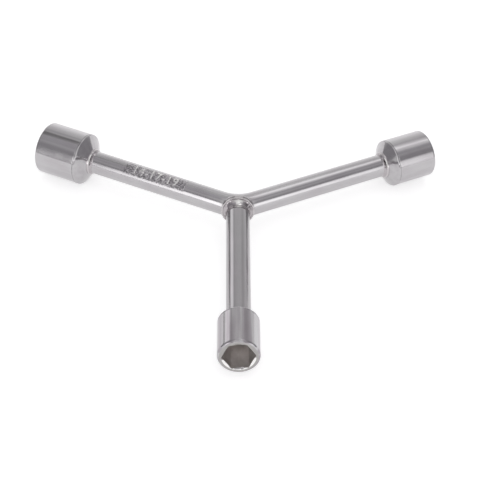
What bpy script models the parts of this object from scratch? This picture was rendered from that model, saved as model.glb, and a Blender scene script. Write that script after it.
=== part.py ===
"""A three-way socket wrench, lying flat with its three arms level.

One bar, bent into a wide V, makes both side arms. A second bar butts against the
outside of the bend and makes the front arm, with a flared weld collar round the joint.
Each end of the bars sits in the back of a turned socket with a hexagonal pocket, and a
small weld ring closes each neck. +Z is up, the front arm points along -Y, and the
origin is at the bottom centre of the wrench's box. Lengths are in metres.
"""

import math
from dataclasses import dataclass

import bmesh
import bpy
from mathutils import Matrix, Vector

COLLECTION = "y_wrench"
CUTTERS = "y_wrench_cutters"

# The two bars. The side arms rise from the X axis by half of the bend's angle.
BAR_DIAMETER = 0.0120
BEND_ANGLE = math.radians(54.0)
BEND_RADIUS = 0.0180
SEAT_DEPTH = 0.0040
BUTT_SETBACK = 0.0012

# The gap between pieces that touch, and how far a cutter runs past what it cuts
FIT_GAP = 0.0003
OVERRUN = 0.0020

# The left arm: from the crossing of the bars to the socket's back, then the socket, whose
# wall is measured over the corners of its hexagon
LEFT_SHANK = 0.0867
LEFT_SOCKET_LENGTH = 0.0281
LEFT_ACROSS_FLATS = 0.0190
LEFT_WALL = 0.00278
LEFT_HEX_DEPTH = 0.0175
LEFT_MOUTH_ROUNDING = 0.0011
LEFT_HEX_TURN = math.radians(0.0)

# The right arm
RIGHT_SHANK = 0.0873
RIGHT_SOCKET_LENGTH = 0.0257
RIGHT_ACROSS_FLATS = 0.0170
RIGHT_WALL = 0.002685
RIGHT_HEX_DEPTH = 0.0170
RIGHT_MOUTH_ROUNDING = 0.0008
RIGHT_HEX_TURN = math.radians(0.0)

# The front arm
FRONT_SHANK = 0.0868
FRONT_SOCKET_LENGTH = 0.0253
FRONT_ACROSS_FLATS = 0.0140
FRONT_WALL = 0.002017
FRONT_HEX_DEPTH = 0.0165
FRONT_MOUTH_ROUNDING = 0.0009
FRONT_HEX_TURN = math.radians(6.0)

# What the three sockets have in common
SOCKET_BACK_WIDTH = 0.0007
SHOULDER_ANGLE = math.radians(60.0)
SHOULDER_ROUNDING = 0.0016
COUNTERSINK_MARGIN = 0.0007
COUNTERSINK_ANGLE = math.radians(22.0)
RELIEF_LENGTH = 0.0008
RELIEF_SHARE = 0.97
POCKET_FLOOR_ANGLE = math.radians(15.0)
SEAT_CHAMFER = 0.0003

# The weld collar round the front bar's butt joint, with heights along the front arm
COLLAR_DIAMETER = 0.0172
COLLAR_BACK = 0.0003
COLLAR_FACE = 0.0030
COLLAR_TOE = 0.0072
COLLAR_EDGE_CHAMFER = 0.0004
COLLAR_GROOVE_DEPTH = 0.0003
COLLAR_GROOVE_WIDTH = 0.0008

# The weld rings at the necks, and how thick a weld is where it runs out on a bar
NECK_WELD_LENGTH = 0.0014
NECK_WELD_HEIGHT = 0.0007
WELD_TOE_THICKNESS = 0.0002
WELD_HOLLOW_SHARE = 0.18

# How finely round forms are drawn
TURN_STEPS = 40
BAR_SIDES = 40
BEND_STEPS = 12
ARC_STEPS = 5
ROUNDING_STEPS = 3
HEXAGON_SIDES = 6
SHARP_ANGLE = math.radians(28.0)
MERGE_DISTANCE = 0.00001

CHROME_COLOUR = (0.62, 0.61, 0.62)
CHROME_ROUGHNESS = 0.22
WELD_COLOUR = (0.55, 0.54, 0.55)
WELD_ROUGHNESS = 0.30

SIDE_RISE = BEND_ANGLE / 2
BAR_RADIUS = BAR_DIAMETER / 2
SEAT_RADIUS = BAR_RADIUS + FIT_GAP


@dataclass
class Socket:
    """One turned socket, its place on its arm and the nut that it fits."""

    name: str
    heading: float
    shank: float
    length: float
    across_flats: float
    wall: float
    hex_depth: float
    mouth_rounding: float
    hex_turn: float

    @property
    def corner_radius(self):
        return self.across_flats / 2 / math.cos(math.pi / HEXAGON_SIDES)

    @property
    def radius(self):
        return self.corner_radius + self.wall


LEFT = Socket(
    name="left_socket",
    heading=math.pi - SIDE_RISE,
    shank=LEFT_SHANK,
    length=LEFT_SOCKET_LENGTH,
    across_flats=LEFT_ACROSS_FLATS,
    wall=LEFT_WALL,
    hex_depth=LEFT_HEX_DEPTH,
    mouth_rounding=LEFT_MOUTH_ROUNDING,
    hex_turn=LEFT_HEX_TURN,
)
RIGHT = Socket(
    name="right_socket",
    heading=SIDE_RISE,
    shank=RIGHT_SHANK,
    length=RIGHT_SOCKET_LENGTH,
    across_flats=RIGHT_ACROSS_FLATS,
    wall=RIGHT_WALL,
    hex_depth=RIGHT_HEX_DEPTH,
    mouth_rounding=RIGHT_MOUTH_ROUNDING,
    hex_turn=RIGHT_HEX_TURN,
)
FRONT = Socket(
    name="front_socket",
    heading=-math.pi / 2,
    shank=FRONT_SHANK,
    length=FRONT_SOCKET_LENGTH,
    across_flats=FRONT_ACROSS_FLATS,
    wall=FRONT_WALL,
    hex_depth=FRONT_HEX_DEPTH,
    mouth_rounding=FRONT_MOUTH_ROUNDING,
    hex_turn=FRONT_HEX_TURN,
)
SOCKETS = (LEFT, RIGHT, FRONT)


def direction(heading):
    return Vector((math.cos(heading), math.sin(heading), 0.0))


def socket_extent(socket, along):
    """How far a socket's rounded mouth reaches from the crossing in a level direction."""
    facing = direction(socket.heading).dot(along)
    sideways = math.sqrt(max(0.0, 1.0 - facing * facing))
    rounding = socket.mouth_rounding
    end = (socket.shank + socket.length - rounding) * facing
    return end + (socket.radius - rounding) * sideways + rounding


def crossing_point():
    """Where the bars' axes cross, which puts the origin at the bottom centre of the box."""
    to_right, to_back = Vector((1.0, 0.0, 0.0)), Vector((0.0, 1.0, 0.0))
    right, left = socket_extent(RIGHT, to_right), socket_extent(LEFT, -to_right)
    back = max(socket_extent(LEFT, to_back), socket_extent(RIGHT, to_back))
    front = FRONT.shank + FRONT.length
    lift = max(socket.radius for socket in SOCKETS)
    return Vector(((left - right) / 2, (front - back) / 2, lift))


def arm_frame(heading, distance):
    """A frame on an arm, that far out: local Z runs outwards and local Y is up."""
    out = direction(heading)
    up = Vector((0.0, 0.0, 1.0))
    turn = Matrix((up.cross(out), up, out)).transposed().to_4x4()
    return Matrix.Translation(crossing_point() + out * distance) @ turn


def arc(centre, start, turn, steps):
    """Points of an outline that turn from a start point about a centre."""
    spoke = start - centre
    turns = [turn * step / steps for step in range(steps + 1)]
    return [tuple(centre + Matrix.Rotation(part, 2) @ spoke) for part in turns]


def hollow_arc(start, end, hollow_share, steps):
    """An arc from start to end that sinks below its chord by a share of the chord."""
    start, end = Vector(start), Vector(end)
    chord = end - start
    outwards = Vector((-chord.y, chord.x)).normalized()
    half_turn = 2 * math.atan(2 * hollow_share)
    radius = chord.length / 2 / math.sin(half_turn)
    centre = (start + end) / 2 + outwards * radius * math.cos(half_turn)
    return arc(centre, start, 2 * half_turn, steps)


def rounded_corner(before, corner, after, radius):
    """The arc that rounds an outer corner of an outline."""
    corner = Vector(corner)
    to_before = (Vector(before) - corner).normalized()
    to_after = (Vector(after) - corner).normalized()
    half_angle = to_before.angle(to_after) / 2
    centre = corner + (to_before + to_after).normalized() * radius / math.sin(half_angle)
    start = corner + to_before * radius / math.tan(half_angle)
    return arc(centre, start, 2 * half_angle - math.pi, ROUNDING_STEPS)


def make_material(name, colour, roughness):
    material = bpy.data.materials.new(name)
    material.use_nodes = True
    shader = material.node_tree.nodes["Principled BSDF"]
    shader.inputs["Base Color"].default_value = (*colour, 1.0)
    shader.inputs["Roughness"].default_value = roughness
    shader.inputs["Metallic"].default_value = 1.0
    return material


def new_object(name, mesh, collection, matrix):
    obj = bpy.data.objects.new(name, mesh)
    bpy.data.collections[collection].objects.link(obj)
    obj.matrix_world = matrix
    if collection == CUTTERS:
        obj.hide_render = True
        obj.display_type = "WIRE"
    return obj


def turned(name, outline, matrix):
    """A solid of revolution about local Z from (radius, height) points."""
    shape = bmesh.new()
    corners = [shape.verts.new((radius, 0.0, height)) for radius, height in outline]
    for first, second in zip(corners, corners[1:]):
        shape.edges.new((first, second))
    if outline[0][0] > 0:
        shape.edges.new((corners[-1], corners[0]))
    mesh = bpy.data.meshes.new(name)
    shape.to_mesh(mesh)
    shape.free()
    obj = new_object(name, mesh, COLLECTION, matrix)
    screw = obj.modifiers.new("turning", "SCREW")
    screw.axis = "Z"
    screw.angle = 2 * math.pi
    screw.steps = screw.render_steps = TURN_STEPS
    screw.use_merge_vertices = True
    screw.merge_threshold = MERGE_DISTANCE
    return obj


def prism(name, radius, bottom, top, sides, turn, collection, matrix):
    """A straight prism about local Z, with a corner at the given turn from local X."""
    shape = bmesh.new()
    bmesh.ops.create_cone(
        shape, cap_ends=True, segments=sides, radius1=radius, radius2=radius, depth=top - bottom
    )
    bmesh.ops.translate(shape, verts=shape.verts, vec=(0.0, 0.0, (top + bottom) / 2))
    bmesh.ops.rotate(shape, verts=shape.verts, matrix=Matrix.Rotation(turn, 3, "Z"))
    mesh = bpy.data.meshes.new(name)
    shape.to_mesh(mesh)
    shape.free()
    return new_object(name, mesh, collection, matrix)


def cut(obj, cutter):
    boolean = obj.modifiers.new("cut_by_" + cutter.name, "BOOLEAN")
    boolean.operation = "DIFFERENCE"
    boolean.solver = "EXACT"
    boolean.object = cutter


def bent_route():
    """The side bar's centre line, from its left end round the bend to its right end."""
    crossing = crossing_point()
    bend_centre = crossing + Vector((0.0, BEND_RADIUS / math.cos(SIDE_RISE), 0.0))
    route = [crossing + direction(LEFT.heading) * (LEFT.shank + SEAT_DEPTH)]
    for step in range(BEND_STEPS + 1):
        angle = -math.pi / 2 - SIDE_RISE + BEND_ANGLE * step / BEND_STEPS
        route.append(bend_centre + direction(angle) * BEND_RADIUS)
    route.append(crossing + direction(RIGHT.heading) * (RIGHT.shank + SEAT_DEPTH))
    return route


def bar_along(name, route, radius, collection):
    """A round bar that follows a route, made a mesh with its end caps welded on."""
    curve = bpy.data.curves.new(name + "_route", "CURVE")
    curve.dimensions = "3D"
    curve.bevel_depth = radius
    curve.bevel_resolution = (BAR_SIDES - 4) // 2
    curve.use_fill_caps = True
    spline = curve.splines.new("POLY")
    spline.points.add(len(route) - 1)
    for point, place in zip(spline.points, route):
        point.co = (*place, 1.0)
    guide = new_object(name + "_route", curve, collection, Matrix.Identity(4))
    graph = bpy.context.evaluated_depsgraph_get()
    mesh = bpy.data.meshes.new_from_object(guide.evaluated_get(graph))
    mesh.name = name
    shape = bmesh.new()
    shape.from_mesh(mesh)
    bmesh.ops.remove_doubles(shape, verts=shape.verts, dist=MERGE_DISTANCE)
    bmesh.ops.recalc_face_normals(shape, faces=shape.faces)
    shape.to_mesh(mesh)
    shape.free()
    obj = new_object(name, mesh, collection, guide.matrix_world)
    bpy.data.objects.remove(guide)
    return obj


def make_front_bar(side_bar_cutter):
    """The straight bar of the front arm, its butt end shaped to sit on the bend."""
    end = FRONT.shank + SEAT_DEPTH
    matrix = arm_frame(FRONT.heading, 0.0)
    obj = prism("front_bar", BAR_RADIUS, BUTT_SETBACK, end, BAR_SIDES, 0.0, COLLECTION, matrix)
    cut(obj, side_bar_cutter)
    return obj


def pocket_outline(socket):
    """From the middle of the pocket's floor out to the countersunk edge of the mouth."""
    relief = socket.across_flats / 2 * RELIEF_SHARE
    floor = socket.length - socket.hex_depth - RELIEF_LENGTH
    middle = floor - relief * math.tan(POCKET_FLOOR_ANGLE)
    sink = socket.corner_radius + COUNTERSINK_MARGIN
    sink_depth = (sink - relief) * math.tan(COUNTERSINK_ANGLE)
    return [(0.0, middle), (relief, floor), (relief, socket.length - sink_depth), (sink, socket.length)]


def shell_outline(socket):
    """From the mouth's face over its rounding, the cylinder and the shoulder to the back."""
    back = (SEAT_RADIUS + SOCKET_BACK_WIDTH, 0.0)
    shoulder = (socket.radius, (socket.radius - back[0]) / math.tan(SHOULDER_ANGLE))
    mouth = (socket.radius, socket.length)
    face = (0.0, socket.length)
    outline = rounded_corner(face, mouth, shoulder, socket.mouth_rounding)
    outline += rounded_corner(mouth, shoulder, back, SHOULDER_ROUNDING)
    return [*outline, back]


def seat_outline():
    """From the chamfered edge of the bar's seat in to the middle of its end."""
    end = SEAT_DEPTH + FIT_GAP
    return [(SEAT_RADIUS + SEAT_CHAMFER, 0.0), (SEAT_RADIUS, SEAT_CHAMFER), (SEAT_RADIUS, end), (0.0, end)]


def make_socket(socket):
    """A turned shell with a blind pocket, whose hexagon is then broached from the mouth."""
    matrix = arm_frame(socket.heading, socket.shank)
    outline = pocket_outline(socket) + shell_outline(socket) + seat_outline()
    obj = turned(socket.name, outline, matrix)
    broach = prism(
        socket.name + "_broach",
        socket.corner_radius,
        socket.length - socket.hex_depth,
        socket.length + OVERRUN,
        HEXAGON_SIDES,
        socket.hex_turn,
        CUTTERS,
        matrix,
    )
    cut(obj, broach)
    return obj


def make_neck_weld(socket):
    """The hollow bead between the bar and the socket's back."""
    front, back = -FIT_GAP, -FIT_GAP - NECK_WELD_LENGTH
    edge = (SEAT_RADIUS + NECK_WELD_HEIGHT, front)
    toe = (SEAT_RADIUS + WELD_TOE_THICKNESS, back)
    outline = [(SEAT_RADIUS, front)]
    outline += hollow_arc(edge, toe, WELD_HOLLOW_SHARE, ROUNDING_STEPS)
    outline.append((SEAT_RADIUS, back))
    name = socket.name.replace("socket", "neck_weld")
    return turned(name, outline, arm_frame(socket.heading, socket.shank))


def make_hub_weld(side_bar_cutter):
    """The grooved collar at the butt joint, with a hollow flare down to the front bar."""
    rim, edge = COLLAR_DIAMETER / 2, COLLAR_EDGE_CHAMFER
    middle = (COLLAR_BACK + COLLAR_FACE) / 2
    toe = (SEAT_RADIUS + WELD_TOE_THICKNESS, COLLAR_TOE)
    outline = [(SEAT_RADIUS, COLLAR_TOE)]
    outline += hollow_arc(toe, (rim - edge, COLLAR_FACE), WELD_HOLLOW_SHARE, ARC_STEPS)
    outline.append((rim, COLLAR_FACE - edge))
    outline.append((rim, middle + COLLAR_GROOVE_WIDTH / 2))
    outline.append((rim - COLLAR_GROOVE_DEPTH, middle))
    outline.append((rim, middle - COLLAR_GROOVE_WIDTH / 2))
    outline += [(rim, COLLAR_BACK + edge), (rim - edge, COLLAR_BACK), (SEAT_RADIUS, COLLAR_BACK)]
    obj = turned("hub_weld_collar", outline, arm_frame(FRONT.heading, 0.0))
    cut(obj, side_bar_cutter)
    return obj


def settle(obj, colour, roughness):
    """Replaces live modifiers by their result, then shades it smooth and colours it."""
    graph = bpy.context.evaluated_depsgraph_get()
    mesh = bpy.data.meshes.new_from_object(obj.evaluated_get(graph))
    obj.modifiers.clear()
    obj.data = mesh
    mesh.name = obj.name
    mesh.shade_smooth()
    mesh.set_sharp_from_angle(angle=SHARP_ANGLE)
    mesh.materials.clear()
    mesh.materials.append(make_material(obj.name + "_chrome", colour, roughness))


def main():
    for obj in list(bpy.data.objects):
        bpy.data.objects.remove(obj)
    for name in (COLLECTION, CUTTERS):
        bpy.context.scene.collection.children.link(bpy.data.collections.new(name))

    route = bent_route()
    side_bar = bar_along("side_bar", route, BAR_RADIUS, COLLECTION)
    side_bar_cutter = bar_along("side_bar_with_gap", route, SEAT_RADIUS, CUTTERS)
    bars_and_sockets = [side_bar, make_front_bar(side_bar_cutter)]
    bars_and_sockets += [make_socket(socket) for socket in SOCKETS]
    welds = [make_hub_weld(side_bar_cutter)]
    welds += [make_neck_weld(socket) for socket in SOCKETS]

    bpy.context.view_layer.update()
    for obj in bars_and_sockets:
        settle(obj, CHROME_COLOUR, CHROME_ROUGHNESS)
    for obj in welds:
        settle(obj, WELD_COLOUR, WELD_ROUGHNESS)


main()
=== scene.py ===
"""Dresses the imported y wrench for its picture, with finely turned, swept and stamped pieces.

The wrench lies flat on a pale floor. Two side arms are one bar bent into a wide V, and the
front arm is a second bar, welded to the outside of the bend. Each arm ends in a socket.
Heights on a bar are measured out from the crossing point of the bars, and heights on a
socket and on its neck bead from the socket's back. In an arm's own frame local Z runs out
along the arm, local Y is up and local X is sideways.
"""

import math
from collections import namedtuple

import bmesh
import bpy
from bpy.props import (
    FloatProperty, FloatVectorProperty, IntProperty, PointerProperty, StringProperty,
)
from mathutils import Matrix, Vector, noise


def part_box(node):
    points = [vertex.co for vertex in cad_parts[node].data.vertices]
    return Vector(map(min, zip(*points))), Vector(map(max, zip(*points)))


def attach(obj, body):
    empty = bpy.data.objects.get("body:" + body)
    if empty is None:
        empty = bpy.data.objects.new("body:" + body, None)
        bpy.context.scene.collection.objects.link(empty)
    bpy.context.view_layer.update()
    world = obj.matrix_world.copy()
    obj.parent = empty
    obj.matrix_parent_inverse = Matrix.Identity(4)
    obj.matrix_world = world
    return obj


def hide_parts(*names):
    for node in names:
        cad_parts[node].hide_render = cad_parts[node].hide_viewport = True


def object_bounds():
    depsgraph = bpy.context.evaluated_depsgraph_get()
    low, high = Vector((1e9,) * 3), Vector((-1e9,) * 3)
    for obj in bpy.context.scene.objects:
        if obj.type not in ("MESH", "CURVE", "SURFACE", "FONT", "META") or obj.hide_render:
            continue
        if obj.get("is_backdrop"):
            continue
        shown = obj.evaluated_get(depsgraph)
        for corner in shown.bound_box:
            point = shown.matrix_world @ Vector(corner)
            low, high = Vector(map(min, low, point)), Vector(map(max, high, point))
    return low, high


bl_info = {
    "name": "Y Wrench",
    "version": (1, 0, 0),
    "blender": (4, 5, 0),
    "location": "3D View > Sidebar > Y Wrench",
    "description": "Makes the finished pieces of a three-way socket wrench, and its stage",
    "category": "Object",
}

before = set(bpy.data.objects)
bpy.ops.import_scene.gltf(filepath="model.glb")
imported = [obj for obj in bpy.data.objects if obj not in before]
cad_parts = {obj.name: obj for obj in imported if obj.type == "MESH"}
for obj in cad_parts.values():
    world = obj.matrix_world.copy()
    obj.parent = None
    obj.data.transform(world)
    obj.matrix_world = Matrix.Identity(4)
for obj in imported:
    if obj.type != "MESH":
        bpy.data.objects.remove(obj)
CAD_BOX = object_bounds()

BODY = "root"
CHROME_SLOT = "satin_chrome"
WELD_SLOT = "weld_chrome"
LEFT, RIGHT, FRONT = range(3)
ARM_NAMES = ("left", "right", "front")
UP = Vector((0.0, 0.0, 1.0))

# How finely the pieces are drawn
TURN_STEPS = 240
NECK_TURN_STEPS = 120
BAR_SIDES = 96
BEND_STEPS = 36
STRAIGHT_STEPS = 12
ROUNDING_STEPS = 8
HOLLOW_STEPS = 14
BEAD_STEPS = 8
SHARP_ANGLE = math.radians(35.0)
MERGE_DISTANCE = 1e-7
TEXT_MERGE_DISTANCE = 1e-6

# What a vertex of a turned outline does after the turning
ROUND, HEX_WALL, HEX_EDGE_IN, HEX_EDGE_OUT, SADDLE, RIM, BEAD = range(7)
# The places of a socket's materials
OUTSIDE, POCKET, CUT, FACE = range(4)

# The front bar's butt end
BUTT_SETBACK = 0.0012
BUTT_CLEARANCE = 0.00002
BUTT_SHARES = (0.0, 0.25, 0.5, 0.75, 0.92, 1.0)

# The sockets' fine form, and how worn their edges are
SEAT_CLEARANCE = 0.00002
COUNTERSINK_MARGIN = 0.00012
COUNTERSINK_SLOPE = math.tan(math.radians(26.0))
# Above this height the countersink gets the duller face finish as painted shade, below it the
# bright cut finish
CUT_PAINTED_SHADE_ABOVE = -0.0012
EDGE_BREAK = 0.00007
RELIEF_LENGTH = 0.0008
RELIEF_SHARE = 0.97
POCKET_FLOOR_SLOPE = math.tan(math.radians(15.0))
HEX_CORNER_RADIUS = 0.0004
WALL_SHARES = (0.02, 0.35, 0.65, 0.98)
RING_LINE_PLACE = 0.00036
RING_LINE_WIDTH = 0.00040
RING_LINE_DEPTH = 0.00020
SOCKET_BACK_WIDTH = 0.0010
BREAK_WEAR = 0.8
MOUTH_WEAR = 0.7
SHOULDER_WEAR = 0.35
BACK_WEAR = 0.3

# The weld collar at the joint of the bars
COLLAR_EDGE = 0.00045
COLLAR_LIP = 0.00062
COLLAR_FACE_GROOVE_WIDTH = 0.00050
COLLAR_FACE_GROOVE_DEPTH = 0.00020
COLLAR_GROOVE_DEPTH = 0.0004
COLLAR_GROOVE_WIDTH = 0.0009
COLLAR_SINK = 0.00003
COLLAR_HOLLOW = -0.16
COLLAR_BACK_SHARES = (0.25, 0.5, 0.75, 1.0)
# Wear on the collar's edges, which the bead plating shows brighter, partly as painted highlights
COLLAR_WEAR_AND_HIGHLIGHT = 0.3
COLLAR_BACK_WEAR_AND_HIGHLIGHT = 0.2
COLLAR_RIPPLE = (0.00014, 760.0)
TOE_THICKNESS = 0.00012
# Shade painted into the collar's toe, groove bottom and face groove
GROOVE_PAINTED_SHADE = 0.9
FACE_GROOVE_PAINTED_SHADE = 0.55
# Where a highlight is painted on the top of the cove, round from the side, and how wide
HIGHLIGHT_ANGLE = math.radians(86.0)
HIGHLIGHT_HALF_WIDTH = math.radians(26.0)
# Shade painted on the collar's upper right side: where, how wide, how strong and how sharp its edge
SIDE_SHADE_ANGLE = math.radians(36.0)
SIDE_SHADE_HALF_WIDTH = math.radians(34.0)
SIDE_SHADE_STRENGTH = 0.95
SIDE_SHADE_EDGE = 1.6

# The neck beads: heights from the socket's back, and rises above the bar
NECK_BEAD_START = -0.0028
NECK_BEAD_END = -0.00172
NECK_BEAD_HEIGHT = 0.00036
NECK_NOTCH = -0.00132
NECK_NOTCH_RISE = 0.00004
NECK_LIP = -0.00118
NECK_LIP_RISE = 0.00082
NECK_TOP = -0.0004
NECK_TOP_RISE = 0.00102
NECK_RIPPLE = (0.00004, 900.0)
NOTCH_ANGLE = math.radians(46.0)
NOTCH_HALF_WIDTH = math.radians(33.0)
NOTCH_END_SHARE = 0.4
# Shade painted at the toe of each neck bead
BEAD_PAINTED_SHADE = 0.4
# Wear on the neck lips; the front side gets more of it as a painted highlight
LIP_WEAR_AND_HIGHLIGHT = 0.25
RIPPLE_STRETCH = 0.6

# Rounded edges: radius and steps
RING_LINE_EDGE = (0.00004, 3)
SOCKET_BACK_EDGE = (0.0003, 4)
FACE_GROOVE_EDGE = (0.00008, 3)
LIP_INNER_EDGE = (0.00010, 3)
LIP_OUTER_EDGE = (COLLAR_LIP * 0.5, 6)
GROOVE_EDGE = (0.0001, 2)
GROOVE_BOTTOM = (0.00012, 4)
COLLAR_BACK_EDGE = (COLLAR_EDGE * 0.8, 6)
NECK_LIP_EDGE = (0.00018, 6)

# The raised numbers
NUMBER_HEIGHT = 0.0066
NUMBER_RELIEF = 0.00022
NUMBER_SINK = 0.00006
NUMBER_BEVEL = 0.00004
SLICE_WIDTH = 0.00022
TEXT_SETTINGS = {
    "size": NUMBER_HEIGHT,
    "align_x": "CENTER",
    "align_y": "CENTER",
    "space_character": 1.12,
    "offset": 0.00006,
    "extrude": (NUMBER_RELIEF + NUMBER_SINK) / 2 - NUMBER_BEVEL,
    "bevel_depth": NUMBER_BEVEL,
    "bevel_resolution": 1,
}

# Platings: whose colour, shade and roughness, then smears, lines, waves and streaks
PLATINGS = {
    "bright_chrome": ("chrome", "stain", "chrome", 0.10, 0.6, 0.5, 0.12),
    # On the front socket strong streaks, partly plating streaks and partly painted reflection bands
    "streaks_and_painted_reflection_chrome": ("chrome", "stain", "chrome", 0.10, 0.6, 0.5, 0.55),
    "marked_chrome": ("chrome", "stain", "bar", 0.10, 0.6, 0.5, 0.08),
    # The front bar's darker colour is painted shade, standing in for the darker things it mirrors
    "bar_chrome": ("bar", "stain", "bar", 0.10, 0.6, 0.5, 0.08),
    "face_chrome": ("face", "pocket", "bar", 0.20, 1.5, 1.0, 0.0),
    "cut_chrome": ("cut", "chrome", "chrome", 0.14, 1.2, 0.8, 0.0),
    "bead_plating": ("weld", "stain", "weld", 0.16, 0.2, 1.2, 0.0),
    "number_chrome": ("cut", "stain", "bar", 0.30, 1.5, 2.0, 0.0),
}
PLATING_AMOUNTS = ("Smears", "Lines", "Waves", "Streaks")

# Noises: scale across, up and along the arm, detail, roughness
PLATING_NOISES = {
    "patches": (160.0, 160.0, 60.0, 3.0, 0.55),
    "streaks": (330.0, 330.0, 12.0, 2.0, 0.5),
    "uneven soot": (260.0, 260.0, 500.0, 2.0, 0.6),
    "smears": (420.0, 420.0, 95.0, 4.0, 0.6),
    "polishing lines": (260.0, 260.0, 9000.0, 2.0, 0.6),
    "waves": (110.0, 110.0, 70.0, 1.0, 0.4),
    "pits": (2600.0, 2600.0, 2600.0, 1.0, 0.5),
}
BROACH_SCORES = (5200.0, 5200.0, 60.0, 2.0, 0.6)
TARNISH = (240.0, 240.0, 160.0, 4.0, 0.6)
RAGGED_BORDER = (900.0, 900.0, 900.0, 2.0, 0.5)
STIPPLE = (2300.0, 2300.0, 2000.0, 3.0, 0.65)
UNEVEN_STAMPING = (1500.0, 1500.0, 1100.0, 2.0, 0.6)

# How an amount is mapped: from low, from high, to low, to high
PATCH_RANGE = (0.42, 0.72, 0.0, 0.55)
STREAK_RANGE = (0.40, 0.60, 0.0, 1.0)
# How strongly the shade painted into crevices shows, speckled by noise
PAINTED_SHADE_RANGE = (0.44, 0.58, 0.10, 1.0)
POCKET_DEPTH_RANGE = (0.012, 0.023, 0.0, 1.0)
PANEL_RANGE = (0.00055, 0.00005, 0.0, 1.0)

# Tints of the plating, and stops of a colour ramp: position and colour
STREAK_TINT = (0.52, 0.46, 0.51, 1.0)
# The dark colour painted into crevices and grooves as shade
PAINTED_SHADE_COLOUR = (0.035, 0.030, 0.032, 1.0)
TARNISH_STOPS = ((0.36, (1.0, 1.0, 1.0)), (0.68, (0.76, 0.75, 0.74)))
STAMPING_STOPS = ((0.42, (0.45, 0.44, 0.45)), (0.58, (1.22, 1.21, 1.22)))

# What lines, wear and the painted shade add to the roughness, and the heights of the plating's
# relief
LINE_ROUGHNESS = 0.05
WORN_ROUGHNESS = -0.05
PAINTED_SHADE_ROUGHNESS = 0.3
LINE_HEIGHT = 0.0000016
WAVE_HEIGHT = 0.00016
PIT_HEIGHT = 0.0000009

# The pockets' thin plating, and the stippled panel round the numbers
POCKET_METAL = 0.85
# How much brighter the pocket is painted deeper in, as painted light
DEEP_PAINTED_LIGHT = 1.25
SCORE_ROUGHNESS = 0.16
SCORE_HEIGHT = 0.000006
BORDER_WOBBLE = 0.0006
PANEL_ROUGHNESS = 0.16
STIPPLE_HEIGHT = 0.00006

# The stage: sizes in metres, and the lamp's azimuth, elevation, distance and brightness
FLOOR_WIDTH = 8.0
PAPER_GRAIN = 900.0
PAPER_SHADE = 0.985
SENSOR_WIDTH = 36.0
VIEW_PIXELS = 500.0
NEAR_LIMIT = 0.01
LAMP_PLACE = (math.radians(36.0), math.radians(61.0), 1.1)
LAMP_SIZE = (0.40, 0.26)
LAMP_BRIGHTNESS = 0.40

# The room's brightness by the sine of the elevation, and its tint
ROOM_STOPS = ((0.0, 0.34), (0.50, 0.34), (0.66, 0.38), (0.80, 0.43), (0.95, 0.53))
ROOM_TINT = (1.0, 0.975, 1.02)
# Pale walls and cards that the metal mirrors. Azimuth from straight behind the wrench, round
# to the right, elevation, half width, half height, softness, brightness low and high
ROOM_CARDS = {
    "back_wall": (0.0, 20.0, 60.0, 28.0, 0.10, 0.70, 0.52),
    "back_light": (0.0, 20.0, 19.0, 27.0, 0.40, 1.24, 0.64),
    "back_top": (-16.0, 61.0, 17.0, 9.0, 0.50, 0.64, 0.64),
    "back_gap": (-47.0, 4.5, 4.5, 5.0, 0.40, 0.34, 0.34),
    "back_card": (-38.0, 17.0, 8.0, 9.0, 0.35, 1.34, 1.34),
    "back_right": (36.0, 9.0, 11.0, 14.0, 0.50, 0.84, 0.74),
    "back_band": (2.0, 47.5, 7.0, 3.2, 0.50, 1.00, 1.00),
    "left_strip": (-142.0, 17.0, 15.0, 14.0, 0.12, 2.20, 2.20),
    "right_strip": (138.0, 14.0, 15.5, 12.5, 0.45, 1.80, 1.80),
    "high_card": (44.0, 63.0, 14.0, 10.0, 0.60, 1.00, 1.00),
    "left_wall": (-117.0, 5.0, 6.0, 8.0, 0.40, 0.72, 0.72),
    "front_wall": (180.0, 44.0, 34.0, 26.0, 0.25, 0.62, 0.80),
    "roof_card": (180.0, 76.0, 18.0, 16.0, 0.30, 0.88, 0.88),
    "front_strip": (180.0, 17.0, 14.0, 5.0, 0.40, 1.60, 1.60),
    "dark_card": (-45.0, 58.0, 7.5, 4.5, 0.40, 0.22, 0.22),
}

Arm = namedtuple(
    "Arm", "name out frame shank length across_flats corner wall hex_depth rounding turn"
)
# Each outline point carries its wear, which on the weld beads also paints a highlight, and the
# shade painted into it
OutlinePoint = namedtuple(
    "OutlinePoint", "radius height role worn soot", defaults=(ROUND, 0.0, 0.0)
)


# ---- settings


def length(name, description, default, precision=4):
    """A property for a length, or for several that go together."""
    settings = {"name": name, "description": description, "default": default, "unit": "LENGTH"}
    if isinstance(default, tuple):
        return FloatVectorProperty(size=len(default), precision=precision, **settings)
    return FloatProperty(min=0.0, precision=precision, **settings)


def angle(name, description, default):
    return FloatProperty(name=name, description=description, default=default, subtype="ANGLE")


def colour(name, description, default):
    return FloatVectorProperty(
        name=name, description=description, default=default, size=3,
        subtype="COLOR", min=0.0, max=1.0,
    )


def factor(name, description, default):
    return FloatProperty(
        name=name, description=description, default=default, subtype="FACTOR", min=0.0, max=1.0
    )


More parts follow.
